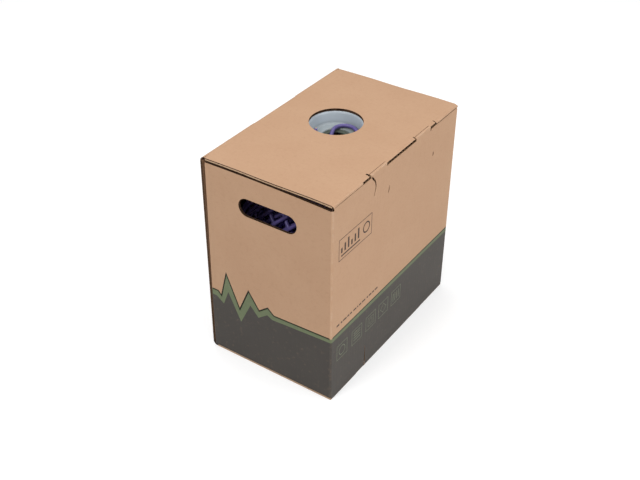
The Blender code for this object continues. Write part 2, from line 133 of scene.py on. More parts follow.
# ---------------------------------------- right wall
TAB_RADIUS = 0.002
TAB_FOLD = HEIGHT - TAB_RADIUS
TAB_END_X = 0.1092
WALL_TOP = 0.3457
WALL_STEPS = ((-0.180, -0.100, 0.3453), (-0.100, -0.0795, 0.3450), (-0.0375, 0.0445, 0.3450),
              (0.0865, 0.104, 0.3450), (0.104, 0.180, 0.3449))
FOOT_STEPS = ((-0.102, -0.0795, 0.0012), (-0.0775, -0.0375, 0.0006), (0.098, 0.2, 0.0009),
              (-0.2, -0.165, 0.0009))
CHIPS = (((-0.0376, 0.3440), (-0.0352, 0.3441), (-0.0338, 0.3460), (-0.0376, 0.3465)),
         ((0.0864, 0.3420), (0.0885, 0.3424), (0.0895, 0.3460), (0.0864, 0.3465)))
SCORES = (                   # points along each cut in the liner, and its width at each point
    (((-0.0772, 0.3459), (-0.0742, 0.3415), (-0.0700, 0.3370), (-0.0673, 0.3320), (-0.0660, 0.3270),
      (-0.0664, 0.3220), (-0.0680, 0.3180), (-0.0700, 0.3110)),
     (0.0030, 0.0030, 0.0028, 0.0026, 0.0023, 0.0019, 0.0014, 0.0006)),
    (((-0.0778, 0.0014), (-0.0780, 0.018), (-0.0782, 0.041)), (0.0032, 0.0020, 0.0007)),
    (((-0.0274, 0.3070), (-0.0290, 0.3005), (-0.0310, 0.2958)), (0.0010, 0.0024, 0.0010)),
    (((0.1014, 0.3000), (0.1010, 0.2965), (0.1003, 0.2928)), (0.0014, 0.0030, 0.0012)))

# ---------------------------------------- end panels and other boards
SKEW = 0.0032                # the end panels' left edge leans out towards the bottom
SKEW_LOW_Z = 0.080
LEAN = 0.0022                # the end panels' top edge leans in under the lid
LEAN_Z = 0.322
TOP_WEDGE = 0.0023           # the end panels' top edge is this much lower at the right wall
PANEL_STEP = 0.012
FLAP_INNER_Y = 0.1385
FLAP_CHAMFER = 0.012
FLAP_CUT_Y = 0.130
HANDHOLD_Z = 0.293
HANDHOLD_LENGTH = 0.100
HANDHOLD_HEIGHT = 0.030
PAYOUT_RADIUS = 0.041
BUSH_HOLE = 0.0210
BACKING_HOLE = 0.0455

# ---------------------------------------- print
BAND_RIGHT = (0.114, 0.121)  # the green stripe at the right wall
BAND_LEFT = (0.107, 0.118)   # and at the left wall
BASE_HIGH = 0.092            # all below this is dark on the back panel
FRONT_BASE_HIGH = 0.070      # and on the front panel
STRIPE_TOP = ((-0.092, 0.118), (-0.086, 0.111), (-0.075, 0.158), (-0.0515, 0.100), (-0.034, 0.143),
              (-0.015, 0.114), (0.001, 0.127), (0.012, 0.117))
STRIPE_LOW = ((-0.0955, 0.107), (-0.082, 0.097), (-0.0725, 0.124), (-0.0500, 0.076), (-0.031, 0.117),
              (-0.0165, 0.100), (0.000, 0.113), (0.009, 0.108))
LINE_WIDTH = 0.0022
LINE_OVERLAP = 0.0006
TILE_CENTRES = (-0.144, -0.1035, -0.064, -0.027, 0.011)
TILE_LOW, TILE_HIGH, TILE_HALF = 0.0680, 0.0955, 0.0140
DASH_START, DASH_LOW, DASH_HIGH = -0.160, 0.1348, 0.1376
DASHES = (7, 4, 9, 5, 5, 8, 3, 6, 9, 4, 7, 5, 8)     # lengths in millimetres

# ---------------------------------------- cable
CABLE_RADIUS = 0.003
WINDING_RADIUS = 0.138
WINDING_CROSSINGS = 1.5208   # swings from flange to flange and back in one turn of the spool
STRAND_STEPS = 24            # points in one turn
STRAND_TURNS = 24
STRAND_LAYERS = ((0.132, 0.086, 0.35), (0.1195, 0.089, 1.10))      # radius, reach and phase
STRAND_LIFT = 0.00305        # a strand rises and sinks by this much where it crosses others
CORE_RADIUS = 0.1115
CORE_REACH = 0.0930
CORE_RIDGES = 31
RIDGE_STEPS = 6
RIDGE_DEPTH = 0.0022

# ---------------------------------------- funnel
RIM_Z = HEIGHT - BOARD - GAP
FUNNEL_RIM_RADIUS = 0.052
FUNNEL_WALL = 0.0016
FUNNEL_FLOOR_Z = 0.326
FUNNEL_LOW_Z = 0.321
FUNNEL_FILLET = 0.0045
FUNNEL_DRAFT = 0.0041
THROAT_RADIUS = 0.0225
THROAT_LIP = 0.0025
GROMMET_HOLE = 0.0155
GROMMET_HEIGHT = 0.003
GROMMET_ROUND = 0.0012
GROMMET_GROOVE = ((0.0034, 0), (0.0040, -0.0006), (0.0046, 0))

# ---------------------------------------- free end
TAIL_LOOP = 0.0323           # radius of the loop that lies against the funnel's wall
TAIL_BEND = (-0.0105, 0.0090)    # where the straight run ends, measured from the payout's axis
TAIL_HEADING = radians(105)
TAIL_RUN = 0.056
TAIL_LIFT = 0.026            # length along the run at which the cable leaves the winding
TAIL_RISE = 0.034            # plan length of the rise to the funnel's floor
TAIL_END = radians(-165)
TAIL_POINT_STEP = 0.0060
TAIL_FINE_STEPS = 60
WIRE_RADIUS = 0.00048
WIRE_LENGTH = 0.0040
WIRE_STEPS = 12
PAIR_OFFSET = 0.00125        # from the cable's axis to a pair's


# ======================================== camera, light and floor
def build_camera():
    """A long lens, with a three-quarter view of the front end and the right wall from above."""
    azimuth, elevation, roll = radians(33.999), radians(35.568), radians(0.380)
    camera_matrix = Matrix.Translation((0.69625, -1.06884, 1.06118))
    for angle, axis in ((azimuth, "Z"), (pi / 2 - elevation, "X"), (roll, "Z")):
        camera_matrix @= Matrix.Rotation(angle, 4, axis)
    data = bpy.data.cameras.new("camera")
    data.lens = 55.62
    data.sensor_width = 36.0
    data.clip_start, data.clip_end = 0.05, 50
    camera = bpy.data.objects.new("camera", data)
    bpy.context.scene.collection.objects.link(camera)
    camera.matrix_world = camera_matrix
    bpy.context.scene.camera = camera


def area_light(name, place, target, size, power, colour=(1, 1, 1)):
    data = bpy.data.lights.new(name, "AREA")
    data.size = size
    data.energy = power
    data.color = colour
    light = bpy.data.objects.new(name, data)
    bpy.context.scene.collection.objects.link(light)
    light.location = place
    light.rotation_euler = (Vector(target) - Vector(place)).to_track_quat("-Z", "Y").to_euler()


def build_stage():
    scene = bpy.context.scene
    scene.view_settings.view_transform = "Standard"
    scene.world = bpy.data.worlds.new("studio")
    scene.world.use_nodes = True
    background = scene.world.node_tree.nodes["Background"].inputs
    background["Color"].default_value = (1.0, 1.0, 1.0, 1.0)
    background["Strength"].default_value = 0.42
    area_light("overhead", (0.0, 0.05, 2.2), (0, 0, 0.2), 3.0, 42)
    area_light("right_fill", (2.2, -0.2, 1.1), (0, 0, 0.2), 1.6, 18, (0.96, 0.98, 1.0))
    area_light("front_key", (-0.35, -1.9, 1.9), (0, 0, 0.25), 0.6, 18)

    mesh = bpy.data.meshes.new("floor")
    bm = bmesh.new()
    bmesh.ops.create_grid(bm, x_segments=1, y_segments=1, size=8)
    bm.to_mesh(mesh)
    bm.free()
    floor = bpy.data.objects.new("floor", mesh)
    scene.collection.objects.link(floor)
    floor.location.z = CAD_LOW.z - 0.0002
    look = Look("floor", 0.9)
    look.set("Base Color", (0.60, 0.60, 0.60))
    look.set("Emission Color", (1.0, 1.0, 1.0))
    look.set("Emission Strength", 0.47)
    look.set("Specular IOR Level", 0.1)
    mesh.materials.append(look.material)


# ======================================== materials
class Look:
    """A Principled material built from nodes, with its patterns in the piece's own coordinates."""

    def __init__(self, name, roughness=0.8, attribute=None):
        self.material = bpy.data.materials.new(name)
        self.material.use_nodes = True
        self.tree = self.material.node_tree
        self.shader = self.tree.nodes["Principled BSDF"]
        self.height = None
        self.set("Roughness", roughness)
        if attribute:
            self.place = self.node("Attribute", {}, "Vector", attribute_name=attribute)
        else:
            self.place = self.node("TexCoord", {}, "Object")

    def node(self, kind, inputs, output=0, **settings):
        """One output of a new node, with its settings, and with values or sockets on its inputs."""
        node = self.tree.nodes.new("ShaderNode" + kind)
        for name, value in settings.items():
            setattr(node, name, value)
        for name, value in inputs.items():
            self.put(node.inputs[name], value)
        return node.outputs[output]

    def put(self, socket, value):
        """Link a socket, or set a plain value."""
        if isinstance(value, bpy.types.NodeSocket):
            self.tree.links.new(value, socket)
        elif socket.type == "RGBA":
            socket.default_value = (*value, 1)
        else:
            socket.default_value = value

    def set(self, name, value):
        self.put(self.shader.inputs[name], value)

    def math(self, operation, *values):
        return self.node("Math", dict(enumerate(values)), operation=operation)

    def times(self, first, second):
        return self.math("MULTIPLY", first, second)

    def plus(self, first, second):
        return self.math("ADD", first, second)

    def step(self, value, low, high):
        """0 below low and 1 above high, smooth between them; the other way round where low is higher."""
        inputs = {"Value": value, "From Min": min(low, high), "From Max": max(low, high)}
        if low > high:
            inputs.update({"To Min": 1, "To Max": 0})
        return self.node("MapRange", inputs, interpolation_type="SMOOTHSTEP")

    def noise(self, scale, detail=2.0, roughness=0.5, stretch=(1, 1, 1)):
        place = self.node("VectorMath", {0: self.place, 1: stretch}, operation="MULTIPLY")
        return self.node("TexNoise", {"Vector": place, "Scale": scale, "Detail": detail,
                                      "Roughness": roughness}, "Fac")

    def cells(self, scale):
        return self.node("TexVoronoi", {"Vector": self.place, "Scale": scale}, "Distance")

    def axes(self):
        first = self.node("SeparateXYZ", {0: self.place})
        return first.node.outputs

    def mix(self, share, first, second):
        return self.node("Mix", {"Factor": share, 6: first, 7: second}, 2, data_type="RGBA")

    def over(self, colour, pattern, share, tone):
        """A colour, with a share of another tone where a pattern is 1."""
        return self.mix(self.times(pattern, share), colour, tone)

    def near(self, point, low, high):
        """1 within low of a point, 0 beyond high."""
        distance = self.node("VectorMath", {0: self.place, 1: point}, "Value", operation="DISTANCE")
        return self.step(distance, high, low)

    def bump(self, height, distance, strength=1.0):
        inputs = {"Distance": distance, "Strength": strength, "Height": height}
        if self.height is not None:
            inputs["Normal"] = self.height
        self.height = self.node("Bump", inputs)
        self.set("Normal", self.height)


def srgb(red, green, blue):
    """A colour given as 0 to 255 values, as linear light."""
    return tuple((c / 255 / 12.92) if c <= 10 else ((c / 255 + 0.055) / 1.055) ** 2.4
                 for c in (red, green, blue))


def scaled(colour, factor, added=0.0):
    return tuple(c * factor + added for c in colour)


KRAFT = srgb(178, 142, 113), srgb(187, 153, 124), srgb(160, 123, 95)      # base, light and dark pulp
KRAFT_INSIDE = srgb(158, 126, 98), srgb(170, 140, 112), KRAFT[2]
KRAFT_LIP = srgb(184, 154, 124), srgb(204, 178, 150), KRAFT[2]
KRAFT_WORN = srgb(196, 172, 150)
KRAFT_FLECK = srgb(112, 82, 60)
INK_DARK = srgb(65, 60, 55)
INK_GREEN = srgb(93, 103, 74)
INK_LINE = srgb(38, 35, 27)
INK_MARK = srgb(62, 44, 32)
INK_PALE = srgb(112, 120, 96)
# the dull grey-green of the painted shade on the funnel's floor and round its throat
FUNNEL_SHADE_TONE = srgb(96, 102, 94)
RIB_HEIGHT = 0.00003
WIRE_COLOURS = {"blue": (0.03, 0.10, 0.45), "orange": (0.60, 0.19, 0.02), "green": (0.03, 0.25, 0.06),
                "brown": (0.16, 0.07, 0.03)}


def kraft_pattern(look, base, light, dark):
    """Mottled pulp with long fibres and flecks: its colour, its grain and the height of its surface."""
    grain = look.noise(160, 4, 0.6)
    fibres = look.noise(700, 2, 0.5, (1, 0.16, 1))
    colour = base
    for pattern, low, high, share, tone in (
            (look.noise(14, 3, 0.55), 0.30, 0.72, 0.30, light), (grain, 0.5, 0.75, 0.22, dark),
            (fibres, 0.56, 0.72, 0.35, light),
            (look.noise(650, 2, 0.5, (0.2, 1, 0.35)), 0.60, 0.74, 0.22, dark),
            (look.cells(420), 0.13, 0.05, 0.22, KRAFT_FLECK)):
        colour = look.over(colour, look.step(pattern, low, high), share, tone)
    return colour, grain, look.plus(grain, look.times(fibres, 0.6))


def edge_wear(look):
    """1 on the outermost corners of the carton, broken up by noise."""
    x, y, z = look.axes()
    side = look.step(look.math("ABSOLUTE", x), SIDE - 0.0030, SIDE - 0.0008)
    end = look.step(look.math("ABSOLUTE", y), END - 0.0035, END - 0.0010)
    levels = look.plus(look.step(z, HEIGHT - 0.0030, HEIGHT - 0.0005), look.step(z, 0.0035, 0.0008))
    edges = look.plus(look.times(side, end), look.times(levels, look.plus(side, end)))
    return look.times(look.math("MINIMUM", edges, 1.0), look.step(look.noise(90, 5, 0.65), 0.42, 0.60))


def finish_board(look, colour, height, across, shine, relief):
    """A liner's colour and relief, with faint ribs spaced along "X" or "Y" where across is given."""
    look.set("Base Color", colour)
    look.set("Specular IOR Level", shine)
    look.bump(height, *relief)
    if across:
        look.bump(look.math("SINE", look.times(look.axes()[across], 2 * pi / FLUTE_PITCH)), RIB_HEIGHT, 0.5)
    return look.material


def kraft_look(name, across=None, attribute=None, tones=KRAFT):
    look = Look(name, 0.82, attribute)
    colour, _, height = kraft_pattern(look, *tones)
    colour = look.over(colour, edge_wear(look), 0.28, KRAFT_WORN)
    return finish_board(look, colour, height, across, 0.25, (0.00006, 0.6))


def ink_look(name, ink, show=0.10, across=None, attribute=None):
    """Printed board: thin ink, with the pulp's fibres and the worn corners showing through it."""
    look = Look(name, 0.62, attribute)
    colour, grain, height = kraft_pattern(look, *KRAFT)
    tone = look.over(ink, look.step(look.noise(22, 3), 0.35, 0.7), 0.22, scaled(ink, 1.35))
    bare = look.times(look.step(grain, 0.55, 0.80), show)
    for pattern, share in ((look.step(look.cells(900), 0.10, 0.03), 0.5 * show + 0.10),
                           (edge_wear(look), 0.08)):
        bare = look.math("MAXIMUM", bare, look.times(pattern, share))
    return finish_board(look, look.mix(bare, tone, colour), height, across, 0.3, (0.00005, 0.5))


def fluting_look(name, low, high):
    """The fluting and the cut edges: rougher pulp; its darker copies paint shade."""
    look = Look(name, 0.9)
    grain = look.noise(900, 4, 0.7)
    look.set("Base Color", look.mix(look.step(grain, 0.35, 0.7), low, high))
    look.set("Specular IOR Level", 0.15)
    look.bump(grain, 0.0001, 0.8)
    return look.material


def jacket_look(name, base):
    """Matt plastic jacket with scuffs and slow changes of tone."""
    look = Look(name, 0.42)
    tone = look.mix(look.step(look.noise(30, 3), 0.3, 0.7), base, scaled(base, 1.3))
    scuff = look.step(look.noise(260, 5, 0.7), 0.58, 0.75)
    look.set("Base Color", look.over(tone, scuff, 0.30, scaled(base, 0.45, 0.12)))
    look.bump(look.noise(900, 3), 0.00004, 0.5)
    return look.material


def moulded_look(name, base, roughness, rub=0.25, painted_shade=False):
    """Moulded plastic with a fine grain, slow changes of tone and rub marks; optionally darker towards the
    floor and round the throat, a painted shade.
    """
    look = Look(name, roughness)
    tone = look.mix(look.step(look.noise(18, 3), 0.3, 0.75), base, scaled(base, 0.86))
    # Painted shade: the floor below the wall and a ring round the throat are darkened towards a dull
    # grey-green.
    if painted_shade:
        throat = (PAYOUT.x + 0.006, PAYOUT.y + 0.004, FUNNEL_FLOOR_Z)
        ring = look.times(look.near(throat, 0.020, 0.038), 0.8)
        floor = look.times(look.step(look.axes()[2], 0.3335, 0.3270), 0.36)
        tone = look.mix(look.math("MAXIMUM", ring, floor), tone, FUNNEL_SHADE_TONE)
    marks = look.times(look.step(look.noise(120, 6, 0.7, (1, 1, 4)), 0.56, 0.72), rub)
    look.set("Base Color", look.mix(marks, tone, scaled(base, 0.55, 0.25)))
    look.set("Roughness", look.plus(look.times(marks, 0.5), roughness))
    look.bump(look.noise(1500, 3, 0.6), 0.00004, 0.5)
    return look.material


def fibre_look():
    """Hardboard: dense brown fibres with dark specks."""
    look = Look("hardboard", 0.75)
    fibres = look.noise(420, 5, 0.65, (1, 0.4, 1))
    colour = look.mix(look.step(fibres, 0.35, 0.68), srgb(112, 80, 54), srgb(150, 112, 78))
    look.set("Base Color", look.over(colour, look.step(look.cells(520), 0.16, 0.06), 0.6, srgb(74, 52, 36)))
    look.bump(fibres, 0.00008, 0.7)
    return look.material


def tube_look():
    """Spiral-wound paper tube, with a seam that climbs round it."""
    look = Look("spiral_paper", 0.78)
    x, y, z = look.axes()
    around = look.math("ARCTAN2", look.math("SUBTRACT", z, AXLE_HEIGHT), y)
    climb = look.math("FRACT", look.plus(look.times(x, 9.0), look.math("DIVIDE", around, 2 * pi)))
    seam = look.step(climb, 0.035, 0.0)
    fibres = look.noise(500, 4, 0.6, (1, 0.3, 1))
    colour = look.mix(look.step(fibres, 0.35, 0.7), srgb(142, 118, 92), srgb(172, 148, 120))
    look.set("Base Color", look.over(colour, seam, 0.7, srgb(92, 72, 54)))
    look.bump(look.math("SUBTRACT", fibres, seam), 0.0001, 0.7)
    return look.material


def steel_look():
    """Zinc-plated steel with a faint spangle."""
    look = Look("zinc_plate", 0.35)
    look.set("Metallic", 1.0)
    spangle = look.step(look.cells(900), 0.1, 0.6)
    look.set("Base Color", look.mix(spangle, (0.62, 0.63, 0.64), (0.45, 0.46, 0.48)))
    look.set("Roughness", look.plus(look.times(look.noise(400, 4), 0.25), 0.22))
    look.bump(look.noise(700, 3), 0.00003, 0.4)
    return look.material


# The last slot is a dark look that paints shade on the inner liner's faces towards the fluting.
FACE, CUT_EDGE, INSIDE, DARK, GREEN, PAINTED_SHADE = range(6)      # the looks of a board, in the order of its slots


# tone scales the face's kraft, and its square the dark ink; below 1 it makes a darker copy of the same board,
# a painted shade.
def board_looks(across, edge, tone, looks):
    return [kraft_look(f"kraft_face_{across}", across, None, [scaled(colour, tone) for colour in KRAFT]),
            looks[edge], looks["inner"],
            ink_look(f"ink_dark_{across}", scaled(INK_DARK, tone ** 2), 0.10, across),
            ink_look(f"ink_green_{across}", INK_GREEN, 0.12, across), looks["shade"]]


def make_looks():
    looks = {"fluting": fluting_look("board_fluting", srgb(140, 108, 80), srgb(178, 144, 112)),
             # Painted shade: this dark cut-edge look stands in for the shade in the flute hollows of raw
             # edges (end panels with the handhold, lid, left wall).
             "shaded_cut_edge": fluting_look("board_edge_painted_shade", srgb(66, 48, 36), srgb(98, 74, 56)),
             # Painted shade: a dark pulp look for the board faces hidden inside the fluting.
             "shade": fluting_look("board_painted_shade", srgb(58, 41, 30), srgb(84, 60, 44)),
             "inner": kraft_look("kraft_inside", tones=KRAFT_INSIDE),
             "lip": kraft_look("kraft_lip", tones=KRAFT_LIP),
             "ink_line": ink_look("ink_line", INK_LINE, 0.05),
             "ink_mark": ink_look("ink_mark", INK_MARK, 0.08),
             "ink_pale": ink_look("ink_pale", INK_PALE, 0.25),
             "jacket": jacket_look("jacket_violet", (0.088, 0.067, 0.215)),
             # The winding's jacket is a lighter copy of the tail's violet, painted light for the dim inside
             # of the carton.
             "winding": jacket_look("jacket_violet_winding_painted_light", (0.165, 0.13, 0.38)),
             "wires": [jacket_look(f"wire_{name}", colour) for name, colour in WIRE_COLOURS.items()],
             "wire_white": jacket_look("wire_white", (0.62, 0.62, 0.60)),
             "funnel": moulded_look("funnel_grey", srgb(176, 185, 192), 0.38, painted_shade=True),
             "rubber": moulded_look("rubber_grey_green", srgb(70, 78, 66), 0.60, 0.12),
             "hub": moulded_look("hub_grey", srgb(120, 124, 128), 0.45),
             "axle": moulded_look("axle_black", srgb(52, 54, 58), 0.42, 0.18),
             "hardboard": fibre_look(), "tube": tube_look(), "steel": steel_look()}
    # The end panels take tone 0.90: painted shade, darker than the walls of the same board.
    ends = board_looks("X", "shaded_cut_edge", 0.90, looks)
    walls = board_looks("Y", "fluting", 1.0, looks)
    looks.update({
        "board_x": ends, "board_y": walls, "ink_dark": ends[DARK], "ink_green": ends[GREEN],
        # The lid and the left wall: the walls' looks, with the dark cut-edge look as painted shade.
        "board_left": [walls[FACE], looks["shaded_cut_edge"], *walls[INSIDE:]],
        "board_inner": [looks["inner"], looks["fluting"], *walls[INSIDE:]],
        "board_rest": [kraft_look("kraft_fold", None, "rest"), looks["fluting"], looks["inner"],
                       ink_look("ink_dark_fold", INK_DARK, 0.16, None, "rest"),
                       ink_look("ink_green_fold", INK_GREEN, 0.16, None, "rest")]})
    return looks


# ======================================== mesh helpers
def spread(low, high, count):
    """The ends of count even steps from low to high."""
    return [low + (high - low) * i / count for i in range(count)] + [high]


def lines(low, high, step, *extra):
    """Even divisions from low to high, with any extra ones that fall between them."""
    even = spread(low, high, max(1, round((high - low) / step)))
    return sorted({*even, *(place for place in extra if low < place < high)})


def joined(*divisions):
    return sorted(set().union(*divisions))


def mesh_from(bm, name="piece"):
    mesh = bpy.data.meshes.new(name)
    bmesh.ops.recalc_face_normals(bm, faces=bm.faces)
    bm.to_mesh(mesh)
    bm.free()
    return mesh


def bend_mesh(bm, place, name):
    for vert in bm.verts:
        vert.co = place(*vert.co)
    return mesh_from(bm, name)


def strip(bm, first, second, closed=True):
    """Faces between two rows of vertices, and from their ends back to their starts if closed."""
    for corners in zip(first, first[1:] + first[:1] * closed, second[1:] + second[:1], second):
        bm.faces.new(corners)


def tube(bm, rows, closed=False):
    """Faces between rings of points, and from the last ring to the first if closed."""
    rings = [[bm.verts.new(point) for point in row] for row in rows]
    for first, second in zip(rings, rings[1:] + rings[:1] * closed):
        strip(bm, first, second)
    return rings


def capped(bm, rows):
    """A tube with a face over each end."""
    rings = tube(bm, rows)
    bm.faces.new(rings[0])
    bm.faces.new(rings[-1])


def plate(us, vs, low, high):
    """A closed flat plate from depth low to depth high, divided at us and vs."""
    bm = bmesh.new()
    layers = [[[bm.verts.new((u, v, w)) for v in vs] for u in us] for w in (low, high)]
    for layer in layers:
        for first, second in zip(layer, layer[1:]):
            strip(bm, first, second, False)
    for i in (0, -1):
        strip(bm, layers[0][i], layers[1][i], False)
        strip(bm, [row[i] for row in layers[0]], [row[i] for row in layers[1]], False)
    return bm


def fluting(us, vs, along, low, high):
    """A wavy sheet between the liners; along is the direction that the flutes run in, "u" or "v"."""
    across, run = (us, vs) if along == "v" else (vs, us)
    count = max(4, 8 * round((across[-1] - across[0]) / FLUTE_PITCH))
    middle, reach = (low + high) / 2, (high - low - FLUTE_SHEET) / 2
    wave = [(s, middle + reach * cos(2 * pi * s / FLUTE_PITCH))
            for s in spread(across[0], across[-1], count)]
    ring = [(s, d - FLUTE_SHEET / 2) for s, d in wave] + [(s, d + FLUTE_SHEET / 2) for s, d in wave[::-1]]
    bm = bmesh.new()
    rings = tube(bm, [[(s, t, d) if along == "v" else (t, s, d) for s, d in ring] for t in run])
    for cap in (rings[0], rings[-1]):
        strip(bm, cap[:count + 1], cap[::-1][:count + 1], False)
    return bm


def prism(outline, low, high):
    """A closed prism over an outline in (u, v)."""
    bm = bmesh.new()
    capped(bm, [[(u, v, w) for u, v in outline] for w in (low, high)])
    return mesh_from(bm)


def cut(bm, cutters):
    """A mesh with closed cutter meshes taken out of it."""
    holder = bpy.data.objects.new("cut", mesh_from(bm))
    tools = [bpy.data.objects.new("cutter", cutter) for cutter in cutters]
    for obj in (holder, *tools):
        bpy.context.scene.collection.objects.link(obj)
    for tool in tools:
        modifier = holder.modifiers.new("cut", "BOOLEAN")
        modifier.operation = "DIFFERENCE"
        modifier.solver = "EXACT"
        modifier.object = tool
    result = bpy.data.meshes.new_from_object(holder.evaluated_get(bpy.context.evaluated_depsgraph_get()))
    for obj in (holder, *tools):
        bpy.data.objects.remove(obj, do_unlink=True)
    return result


def grown(outline, amount):
    """An anticlockwise outline moved outward by amount."""
    points = [Vector(point) for point in outline]
    result = []
    for before, here, after in zip(points[-1:] + points[:-1], points, points[1:] + points[:1]):
        along = (here - before).normalized() + (after - here).normalized()
        result.append(tuple(here + Vector((along.y, -along.x)).normalized() * amount))
    return result


def rectangle(low_u, low_v, high_u, high_v):
    return [(low_u, low_v), (high_u, low_v), (high_u, high_v), (low_u, high_v)]


def arc(centre_u, centre_v, radius, start, end, steps):
    return [(centre_u + radius * cos(a), centre_v + radius * sin(a)) for a in spread(start, end, steps)]


def circle(centre_u, centre_v, radius, steps):
    return arc(centre_u, centre_v, radius, 0, 2 * pi, steps)[:-1]


def stadium(centre_u, centre_v, length, height, steps=20):
    radius = height / 2
    reach = length / 2 - radius
    return (arc(centre_u + reach, centre_v, radius, -pi / 2, pi / 2, steps)
            + arc(centre_u - reach, centre_v, radius, pi / 2, 3 * pi / 2, steps))


def sliver(points, widths):
    """A thin outline along points, with a width at each of them."""
    points = [Vector(point) for point in points]
    left, right = [], []
    for before, here, after, width in zip(points[:1] + points, points, points[1:] + points[-1:], widths):
        arriving = (here - before).normalized()
        leaving = (after - here).normalized()
        along = (arriving + leaving).normalized()
        straight = max((arriving if arriving.length else leaving).dot(along), SHARPEST)
        side = Vector((-along.y, along.x)) * width / 2 / straight
        left.append(tuple(here + side))
        right.append(tuple(here - side))
    return right + left[::-1]


def add_piece(name, data, body, looks, nodes=(), smooth=30):
    """Link a piece, give it its materials, and let it ride on its body."""
    obj = bpy.data.objects.new(name, data)
    bpy.context.scene.collection.objects.link(obj)
    for look in looks:
        data.materials.append(look)
    if isinstance(data, bpy.types.Mesh):
        data.name = name
        data.shade_smooth()
        data.set_sharp_from_angle(angle=radians(smooth))
    if body:
        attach(obj, body)
    if nodes:
        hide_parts(*nodes)
    return obj


def add_board(name, body, looks, node, us, vs, place, outlines=(), scores=(), along="v", inside=None,
              wave=None, tint=None):
    """Corrugated board: two liners with fluting between them, cut flat and bent by place(u, v, w).

    outlines are cut right through, scores only through the printed liner. inside and wave give other
    divisions (us, vs) for the inner liner and the fluting, and tint(u, v) the look of the printed face.
    """
    inside = inside or (us, vs)
    wave_us, wave_vs = ([max(line[0] + RECESS, min(line[-1] - RECESS, value)) for value in line]
                        for line in wave or inside)
    through = [prism(o, -CLEAR, BOARD + CLEAR) for o in outlines]
    shallow = [prism(o, -CLEAR, SCORE_DEPTH) for o in scores]
    wide = [prism(grown(o, RECESS), -CLEAR, BOARD + CLEAR) for o in outlines]
    deep = [prism(o, -CLEAR, BOARD - LINER - 0.0002) for o in scores]
    face = cut(plate(us, vs, INK, LINER + INK), through + shallow)
    back = cut(plate(*inside, BOARD - LINER, BOARD), through)
    middle = cut(fluting(wave_us, wave_vs, along, LINER + INK, BOARD - LINER), wide + deep)
    bm = bmesh.new()
    for part, look in ((face, FACE), (back, INSIDE), (middle, CUT_EDGE)):
        start = len(bm.faces)
        bm.from_mesh(part)
        bm.faces.ensure_lookup_table()
        for f in bm.faces[start:]:
            f.material_index = look if abs(f.normal.z) > 0.7 else CUT_EDGE
            # The inner liner's face towards the fluting gets a painted shade, dark where it shows through
            # scores and openings.
            if look == INSIDE and f.normal.z < -0.7:
                f.material_index = PAINTED_SHADE
            if tint and f.material_index == FACE:
                f.material_index = tint(*f.calc_center_median().xy)
    bmesh.ops.remove_doubles(bm, verts=bm.verts, dist=1e-7)
    add_piece(name, bend_mesh(bm, place, name), body, looks, [node])


def add_film(name, body, look, place, outlines=(), rings=(), strokes=()):
    """Printed films: closed thin plates over outlines, rings inside outlines, and strokes.

    A ring is an outline and its width, and a stroke is a line of points and its width.
    """
    bm = bmesh.new()
    for points, width in strokes:
        outline = sliver(points, [width] * len(points))
        capped(bm, [[(*right, 0), (*left, 0), (*left, INK), (*right, INK)]
                    for _, right, left in zip(points, outline, outline[::-1])])
    for outline in outlines:
        capped(bm, [[(u, v, w) for u, v in outline] for w in (0, INK)])
    for outer, width in rings:
        inner = grown(outer, -width)
        tube(bm, [[(u, v, w) for u, v in outline]
                  for outline, w in ((outer, 0), (inner, 0), (inner, INK), (outer, INK))], True)
    add_piece(name, bend_mesh(bm, place, name), body, [look])


def turned_mesh(name, profile, centre, steps):
    """A closed ring turned from a profile of (radius, height)."""
    bm = bmesh.new()
    tube(bm, [[(centre.x + r * cos(angle), centre.y + r * sin(angle), h) for r, h in profile]
              for angle in spread(0, 2 * pi, steps)[:-1]], True)
    return mesh_from(bm, name)


def smooth_share(value):
    value = min(max(value, 0.0), 1.0)
    return value * value * (3 - 2 * value)


# ======================================== how each panel is bent
def lid_place(u, v, w):
    """The lid: flat, with a dipped strip and a rolled right edge, and wavy front and back edges."""
    slope = LID_SLOPE * smooth_share((u - CREASE_X) / (LID_EDGE - CREASE_X))
    dip = END_DIP * smooth_share((abs(v) - END_DIP_START) / END_DIP_RUN) * (0.5 + 0.5 * sin(u * 52 + 1.1))
    over = u - LID_EDGE
    if over <= 0:
        return u, v, HEIGHT - w - slope - dip
    angle = min(over / LID_RADIUS, pi / 2)
    down = max(over - LID_RADIUS * pi / 2, 0.0)
    return (LID_EDGE + (LID_RADIUS - w) * sin(angle), v,
            HEIGHT - LID_SLOPE - dip - LID_RADIUS + (LID_RADIUS - w) * cos(angle) - down)


def bottom_place(u, v, w):
    return u, v, w


def right_place(u, v, w):
    """The right wall: flat, and over the top edge at the lock tabs."""
    if v <= TAB_FOLD:
        return SIDE - w, u, v
    angle = min((v - TAB_FOLD) / TAB_RADIUS, pi / 2)
    along = max(v - TAB_FOLD - TAB_RADIUS * pi / 2, 0.0)
    return (SIDE - TAB_RADIUS + (TAB_RADIUS - w) * cos(angle) - along, u,
            TAB_FOLD + (TAB_RADIUS - w) * sin(angle))


